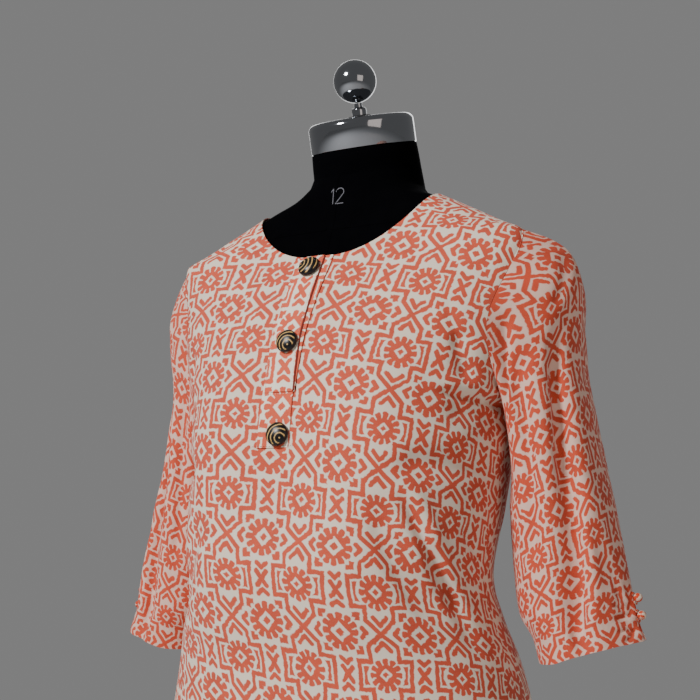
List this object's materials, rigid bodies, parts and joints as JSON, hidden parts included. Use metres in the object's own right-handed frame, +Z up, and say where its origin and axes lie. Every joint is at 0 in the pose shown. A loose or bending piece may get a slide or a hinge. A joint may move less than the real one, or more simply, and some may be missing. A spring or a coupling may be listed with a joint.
{
  "type": "kurta tunic on a dress form",
  "caption": "Knee-length block-print kurta tunic with three-quarter sleeves, a button placket and side slits, worn on a dress form with a chrome stand.",
  "frame": {"origin": "centre of the underside of the stand's base", "axes": "+Z up, -Y the kurta's front, +X the wearer's left"},
  "size_m": [0.6074, 0.37, 1.5487],
  "materials": {
    "printed_cotton": "plain weave with an orange block print",
    "loop_cloth": "cream cloth",
    "button_black": "polished",
    "black_jersey": "close black jersey",
    "chrome": "mirror",
    "black_rubber": "matt"
  },
  "bodies": {
    "root": {"front": "printed_cotton", "back": "printed_cotton", "sleeve_left": "printed_cotton", "sleeve_right": "printed_cotton", "placket_under": "printed_cotton", "placket_top": "printed_cotton", "placket_box": "printed_cotton", "button_1": "button_black", "button_2": "button_black", "button_3": "button_black", "cuff_button_left_1": "loop_cloth", "cuff_button_left_2": "loop_cloth", "cuff_button_right_1": "loop_cloth", "cuff_button_right_2": "loop_cloth", "dress_form": "black_jersey", "neck_cap": "chrome", "finial_washer": "black_rubber", "finial_nut": "chrome", "finial_ball": "chrome", "stand_base": "chrome", "stand_pole": "chrome"}
  },
  "joints": []
}
